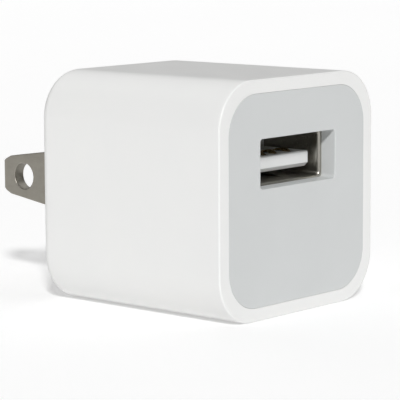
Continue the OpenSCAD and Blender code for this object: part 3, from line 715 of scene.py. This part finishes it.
def small_chip_pieces(node, width, height, leads, under=False):
    """A small chip with leads along X. leads lists (side, place along Y)."""
    lo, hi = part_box(node)
    mid = (lo + hi) / 2
    base = lo.z + 0.1 * MM if not under else lo.z
    body_lo = Vector((mid.x - width / 2, lo.y, base))
    body_hi = Vector((mid.x + width / 2, hi.y, base + height))
    place(moulded_body(node + "_body", body_lo, body_hi, 0.06 * MM, 0.06 * MM), node)
    z = (body_lo.z + body_hi.z) / 2
    foot = hi.z - 0.15 * MM if under else lo.z
    for i, (side, y) in enumerate(leads):
        start = Vector((mid.x + side * width / 2, mid.y + y * MM, z))
        reach = (hi.x - mid.x) - width / 2
        place(gull_wing("{}_lead_{}".format(node, i), start, Vector((side, 0, 0)), foot, 0.4 * MM, reach),
              node, "tinned_pin")


def resistor_row_pieces():
    """Eight chip resistors: a dark body and two tinned ends each."""
    lo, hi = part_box("board_resistors")
    w, d = 0.8 * MM, 1.6 * MM
    step_x, step_y = (hi.x - lo.x - w) / 3, hi.y - lo.y - d
    for i in range(8):
        corner = Vector((lo.x + step_x * (i % 4), lo.y + step_y * (i // 4), lo.z))
        body_hi = corner + Vector((w - 0.02 * MM, d - 0.15 * MM, hi.z - lo.z))
        body = moulded_body("chip_resistor_{}".format(i), corner + Vector((0.02, 0.15, 0.02)) * MM, body_hi,
                            0.03 * MM, 0.01 * MM)
        place(body, "board_resistors")
        for end, y in (("f", 0), ("b", d - 0.3 * MM)):
            cap = moulded_body("chip_resistor_{}_end_{}".format(i, end), corner + Vector((0, y, 0)),
                               corner + Vector((w, y + 0.3 * MM, hi.z - lo.z)), 0.05 * MM, 0.005 * MM)
            place(cap, "board_resistors", "tinned_pin")


def optocoupler_pieces():
    """A standing white package with a dimple in one corner, and leads to both boards."""
    node = "optocoupler"
    lo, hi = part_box(node)
    foot_z, head_z = 11 * MM, 16 * MM
    body_lo, body_hi = Vector((lo.x, lo.y, foot_z)), Vector((hi.x, hi.y, head_z))
    body = moulded_body(node + "_body", body_lo, body_hi, 0.2 * MM, 0.14 * MM)
    mid = (body_lo + body_hi) / 2
    dimple = turned("dimple", Vector((lo.x - 0.1 * MM, mid.y - 1.3 * MM, mid.z + 1.3 * MM)), X,
                    [(0, 0.35 * MM), (0.32 * MM, 0.35 * MM)], 24)
    carve(body, "DIFFERENCE", [dimple])
    place(body, node)
    for side in (-1, 1):
        for name, a, b in (("low", lo.z, body_lo.z + 0.3 * MM), ("high", body_hi.z - 0.3 * MM, hi.z)):
            x, y = mid.x, mid.y + side * LEAD_PITCH
            lead = strip("{}_lead_{}{}".format(node, name, "fb"[side > 0]),
                         [Vector((x, y, a)), Vector((x, y, b))], 0.45 * MM, 0.45 * MM)
            place(lead, node, "tinned_pin")


def transistor_pieces():
    """A standing three-lead transistor with one flat side and a drafted, rounded body."""
    node = "switching_transistor"
    lo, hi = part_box(node)
    flat_x, r = lo.x, (hi.y - lo.y) / 2
    centre = Vector((hi.x - r, (lo.y + hi.y) / 2, 0))
    base_z = hi.z - 4.5 * MM
    loops = []
    levels = [(base_z, 0.2), (base_z + 0.1 * MM, 0.06), (base_z + 1.2 * MM, 0)]
    levels += [(hi.z - 0.3 * MM, 0.03), (hi.z - 0.08 * MM, 0.1), (hi.z, 0.25)]
    for z, inset in levels:
        loops.append(d_loop(centre, flat_x + inset * MM, r - inset * MM, z))
    place(new_object(node + "_body", loft(loops)), node)
    for i in (-1, 0, 1):
        at = Vector((centre.x, centre.y + i * LEAD_PITCH, 0))
        lead = strip("{}_lead_{}".format(node, i + 1), [at + Z * lo.z, at + Z * (base_z + 0.3 * MM)],
                     0.4 * MM, 0.45 * MM)
        place(lead, node, "tinned_pin")


def d_loop(centre, flat_x, radius, z, steps=40):
    """A circle with its low-X side cut flat."""
    start = math.acos(max(-1, min(1, (flat_x - centre.x) / radius)))
    points = []
    for i in range(steps + 1):
        a = -start + 2 * start * i / steps
        points.append(Vector((centre.x + radius * math.cos(a), centre.y + radius * math.sin(a), z)))
    return points


def disc_capacitor_pieces():
    """A dipped disc, thickest in the middle, with coating drawn down its two leads."""
    node = "y_capacitor"
    lo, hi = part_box(node)
    thick, r = 2.8 * MM, (hi.y - lo.y) / 2
    middle_z, foot_out = 13 * MM, 2.2 * MM
    start = Vector((lo.x, (lo.y + hi.y) / 2, middle_z))
    side = [(0, 0.3), (0.03, 0.55), (0.12, 0.8), (0.28, 0.94), (0.42, 0.99), (0.5, 1)]
    profile = [(thick * a, r * b) for a, b in side]
    profile += [(thick - a, b) for a, b in reversed(profile[:-1])]
    place(turned(node + "_disc", start, X, profile, 64), node)
    x = start.x + thick / 2
    for name, side_y, end_z, turn in (("low", 1.15 * MM, lo.z, -1), ("high", -1.15 * MM, hi.z, 1)):
        foot = Vector((x, start.y + side_y, start.z + turn * foot_out))
        place(wire(node + "_lead_" + name, [foot, Vector((foot.x, foot.y, end_z))], LEAD_R), node,
              "tinned_pin")
        skirt = [(0, 0.75 * MM), (0.7 * MM, 0.7 * MM), (1.2 * MM, 0.42 * MM), (1.7 * MM, 0.29 * MM)]
        place(turned(node + "_skirt_" + name, foot, turn * Z, skirt, 24), node)


# ---- Transformer and film ----

def winding_piece():
    """Layered turns of wire round the bobbin."""
    lo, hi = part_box("transformer_winding")
    turns, w = 26, hi.x - lo.x
    mid, pitch = (lo + hi) / 2, (hi.z - lo.z) / turns
    bore = (4.8 * MM, 6.4 * MM, 0.3 * MM)
    outer = (w, hi.y - lo.y, 1.4 * MM)
    loops = [flat_loop(bore, mid, hi.z), flat_loop(bore, mid, lo.z)]
    for i in range(turns):
        for share, inset in ((0.06, 0.12), (0.25, 0.02), (0.5, 0), (0.75, 0.02), (0.94, 0.12)):
            loops.append(flat_loop(outer, mid, lo.z + pitch * (i + share), inset * MM))
    place(new_object("winding_turns", loft(loops, caps=False)), "transformer_winding")


def tape_piece():
    """Three overlapping bands of tape round the winding, with a lifted end."""
    lo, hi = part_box("transformer_tape")
    mid, h = (lo + hi) / 2, hi.z - lo.z
    outer = (hi.x - lo.x, hi.y - lo.y, 1.55 * MM)
    inner = (outer[0] - 0.3 * MM, outer[1] - 0.3 * MM, 1.4 * MM)
    loops = [flat_loop(inner, mid, hi.z), flat_loop(inner, mid, lo.z)]
    for share, inset in ((0, 0.03), (0.01, 0), (0.33, 0), (0.335, 0.05), (0.345, 0.05), (0.35, 0.015),
                         (0.66, 0.015), (0.665, 0.06), (0.675, 0.06), (0.68, 0), (0.99, 0), (1, 0.03)):
        loops.append(flat_loop(outer, mid, lo.z + h * share, inset * MM))
    place(new_object("tape_bands", loft(loops, caps=False)), "transformer_tape")
    foot = Vector((mid.x - 0.8 * MM, lo.y, lo.z + 0.2 * MM))
    place(strip("tape_end", [foot, foot + Z * (h - 0.4 * MM)], 2.8 * MM, 0.08 * MM), "transformer_tape")


def sheet_piece():
    """The insulating film, bent once so that it runs under and behind the upper side."""
    lo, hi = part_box("insulation_sheet")
    t = 0.2 * MM
    z, y = lo.z + t / 2, hi.y - t / 2
    path = rounded_path([Vector((0, lo.y, z)), Vector((0, y, z)), Vector((0, y, hi.z))], 0.9 * MM, 10)
    place(strip("insulation_film", path, hi.x - lo.x, t), "insulation_sheet")


def secondary_lead_pieces():
    """Insulated wires whose bared, tinned ends go through the board."""
    node = "secondary_leads"
    lo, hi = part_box(node)
    r = (hi.y - lo.y) / 2
    for side, x in (("l", lo.x + r), ("r", hi.x - r)):
        at = Vector((x, (lo.y + hi.y) / 2, 0))
        bare_z = UPPER_BOARD[0].z - 0.2 * MM
        place(wire("insulation_" + side, [at + Z * lo.z, at + Z * bare_z], r), node)
        place(wire("bare_end_" + side, [at + Z * (bare_z - MM), at + Z * hi.z], r * 0.6), node, "tinned_pin")


def bobbin_pin_pieces():
    """Turned pins with a slightly narrowed foot, one for each pin that the CAD has."""
    node = "transformer_pins"
    lo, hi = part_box(node)
    for i, (centre, half) in enumerate(sections(node, (lo.z + hi.z) / 2)):
        profile = [(0, half.x * 0.6), (0.12 * MM, half.x), (hi.z - lo.z, half.x)]
        place(turned("bobbin_pin_{}".format(i), Vector((centre.x, centre.y, lo.z)), Z, profile, 20), node)


# ---- Boards and solder ----

def sections(node, z):
    """The middle and half size of each island where the plane at z cuts a CAD node."""
    bm = bmesh.new()
    bm.from_mesh(frame["nodes"][node].data)
    bmesh.ops.remove_doubles(bm, verts=bm.verts, dist=WELD_GAP)
    cut = bmesh.ops.bisect_plane(bm, geom=bm.verts[:] + bm.edges[:] + bm.faces[:],
                                 plane_co=(0, 0, z), plane_no=(0, 0, 1))["geom_cut"]
    left = {v for v in cut if isinstance(v, bmesh.types.BMVert)}
    inside = set(left)
    found = []
    while left:
        stack, island = [left.pop()], []
        while stack:
            v = stack.pop()
            island.append(v.co.copy())
            near = {e.other_vert(v) for e in v.link_edges if abs(e.other_vert(v).co.z - z) < 1e-7}
            stack += list(near & inside & left)
            left -= near
        lo = Vector([min(p[k] for p in island) for k in range(3)])
        hi = Vector([max(p[k] for p in island) for k in range(3)])
        found.append(((lo + hi) / 2, (hi - lo) / 2))
    bm.free()
    return sorted(found, key=lambda s: (round(s[0].x, 5), round(s[0].y, 5)))


def solder_piece(name, board, nodes, z, up):
    """A pad and a concave solder fillet round every lead that goes through a board."""
    bm = bmesh.new()
    for node in nodes:
        for centre, half in sections(node, z + up * 0.3 * MM):
            add_fillet(bm, centre, half, z, up)
    place(new_object(name, bm), board, "tinned_pin")


def add_fillet(bm, centre, half, z, up):
    """A concave cone of solder round one lead, from a wide foot up to the lead itself."""
    steps = [(0.3, -0.01), (0.3, 0.04), (0.27, 0.06), (0.18, 0.13), (0.09, 0.26), (0.03, 0.46), (-0.02, 0.5)]
    loops = []
    for reach, height in steps:
        w, d = 2 * (half.x + reach * MM), 2 * (half.y + reach * MM)
        round_r = min(w, d) / 2 * 0.98
        loops.append(flat_loop((w, d, round_r), centre, z + up * height * MM, 0, 5))
    loft(loops, bm=bm)


# ---- Stage ----

def stage_scene():
    """A pale floor, a dim pale world, a wide overhead softbox and a key from the front left."""
    bm = bmesh.new()
    bmesh.ops.create_grid(bm, x_segments=1, y_segments=1, size=4.0)
    floor = new_object("floor", bm)
    shader = Shader("pale_floor", roughness=0.9)
    drift = shader.spread(shader.noise(0.5, 2), 0, 1)
    shader.colour(shader.mix(drift, (0.86, 0.86, 0.86), (0.84, 0.84, 0.84)))
    shader.bsdf.inputs["Emission Color"].default_value = (1, 1, 1, 1)
    shader.bsdf.inputs["Emission Strength"].default_value = 0.25
    floor.data.materials.append(shader.material)
    world = bpy.data.worlds.new("studio")
    world.use_nodes = True
    world.node_tree.nodes["Background"].inputs["Color"].default_value = (1, 1, 1, 1)
    world.node_tree.nodes["Background"].inputs["Strength"].default_value = 0.1
    bpy.context.scene.world = world
    bpy.context.scene.view_settings.view_transform = "Standard"
    key = add_light("key_light", "SUN", (-0.6, -0.6, 0.57), 2.3)
    key.angle = 0.12
    softbox = add_light("overhead_softbox", "AREA", (0.45, 0.38, 1.5), 20.0)
    softbox.size = 3.0


def add_light(name, kind, where, energy):
    """A lamp that faces the middle of the body."""
    lamp = bpy.data.lights.new(name, kind)
    lamp.energy = energy
    obj = bpy.data.objects.new(name, lamp)
    obj.location = where
    obj.rotation_euler = (Vector((0, 0, MID_Z)) - obj.location).to_track_quat("-Z", "Y").to_euler()
    bpy.context.scene.collection.objects.link(obj)
    return lamp


def add_camera():
    """A long lens that looks at the front and left sides from a little above."""
    yaw, pitch, roll = 0.8522, 0.1404, -0.0052
    where = Vector((-185.165, -160.886, 46.331)) * MM
    ahead = Vector((math.sin(yaw) * math.cos(pitch), math.cos(yaw) * math.cos(pitch), -math.sin(pitch)))
    right = Vector((math.cos(yaw), -math.sin(yaw), 0))
    above = right.cross(ahead)
    x_axis = math.cos(roll) * right + math.sin(roll) * above
    y_axis = math.cos(roll) * above - math.sin(roll) * right
    camera = bpy.data.cameras.new("camera")
    camera.sensor_width = 36
    camera.lens = 190.08
    camera.clip_start, camera.clip_end = 0.01, 20
    obj = bpy.data.objects.new("camera", camera)
    turn = Matrix((x_axis, y_axis, -ahead)).transposed().to_4x4()
    obj.matrix_world = Matrix.Translation(where) @ turn
    bpy.context.scene.collection.objects.link(obj)
    bpy.context.scene.camera = obj


def build():
    """Makes every material and piece."""
    MATERIALS.update(make_materials())
    housing_piece()
    face_plate_piece()
    build_socket()
    build_mains_side()
    build_output_side()
    for node, width in EDGE_ROUNDING.items():
        soften(node, width * MM)


def build_socket():
    """The socket's shell, contacts, contact tails and leaves."""
    usb_shell_piece()
    contact_pieces()
    contact_tail_pieces()
    spring_pieces()


def build_mains_side():
    """The parts of the lower board, with the transformer and what joins the two boards."""
    for node in ("bulk_capacitor_left", "bulk_capacitor_right"):
        can_pieces(node, 9.6 * MM, 1.75 * MM, up=False)
    axial_pieces("fusible_resistor", 1.4 * MM, 1.2 * MM,
                 ((2.0, "wire_red"), (2.75, "chip_black"), (3.5, "chip_black"), (4.25, "contact_gold")))
    axial_pieces("filter_inductor", 1.45 * MM, 1.25 * MM,
                 ((2.0, "wire_red"), (2.8, "chip_black"), (3.6, "contact_gold")))
    end_lead_pieces("bridge_rectifier", 0.7, (-1.1, 1.1))
    end_lead_pieces("snubber_diode", 1.5, (0,))
    small_chip_pieces("controller_chip", 1.6 * MM, 0.9 * MM,
                      [(s, y) for s in (-1, 1) for y in (-0.95, 0, 0.95)], under=True)
    transistor_pieces()
    optocoupler_pieces()
    disc_capacitor_pieces()
    winding_piece()
    tape_piece()
    bobbin_pin_pieces()
    solder_piece("lower_board_solder", "primary_board", LOWER_SOLDERED, LOWER_BOARD[0].z, -1)


def build_output_side():
    """The parts of the upper board, its supply leads and the film."""
    for node in ("output_capacitor_left", "output_capacitor_right"):
        can_pieces(node, 8 * MM, 1 * MM, up=True)
    end_lead_pieces("output_diode", 3, (0,))
    small_chip_pieces("feedback_chip", 1.4 * MM, MM, ((-1, -0.95), (-1, 0.95), (1, 0)))
    resistor_row_pieces()
    secondary_lead_pieces()
    sheet_piece()
    solder_piece("upper_board_solder", "secondary_board", UPPER_SOLDERED, UPPER_BOARD[1].z, 1)


add_camera()
stage_scene()
build()
